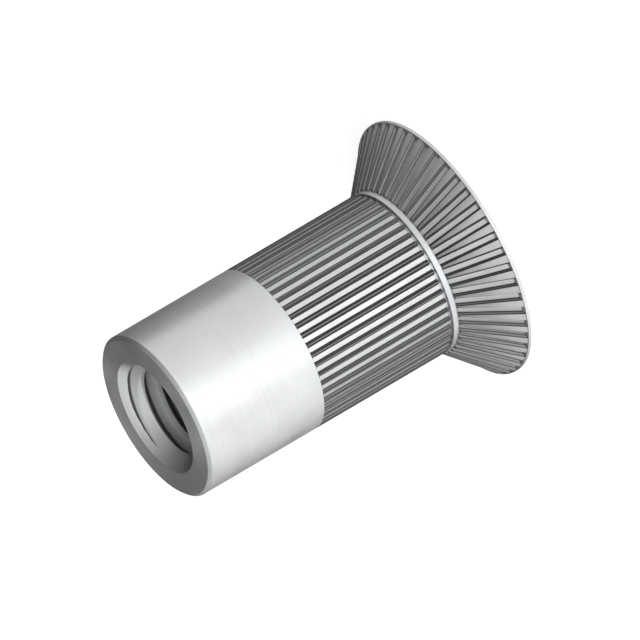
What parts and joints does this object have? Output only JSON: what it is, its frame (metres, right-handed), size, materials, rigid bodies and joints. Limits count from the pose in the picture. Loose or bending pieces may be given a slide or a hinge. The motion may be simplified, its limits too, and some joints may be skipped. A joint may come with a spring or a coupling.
{
  "type": "countersunk rivet nut",
  "caption": "Blind rivet nut with a ribbed countersunk head, a straight-knurled shank and an M6 threaded barrel, pulled up from one side of a sheet.",
  "frame": {"origin": "centre of the flat head face, on the nut's axis", "axes": "+Z along the nut's axis, from the head face up to the open threaded end; a knurl groove is centred on +X"},
  "size_m": [0.0148, 0.0148, 0.019],
  "materials": {
    "plated_steel": "satin, bright zinc on turned and knurled steel"
  },
  "bodies": {
    "root": {"rivet_nut": "plated_steel"}
  },
  "joints": []
}
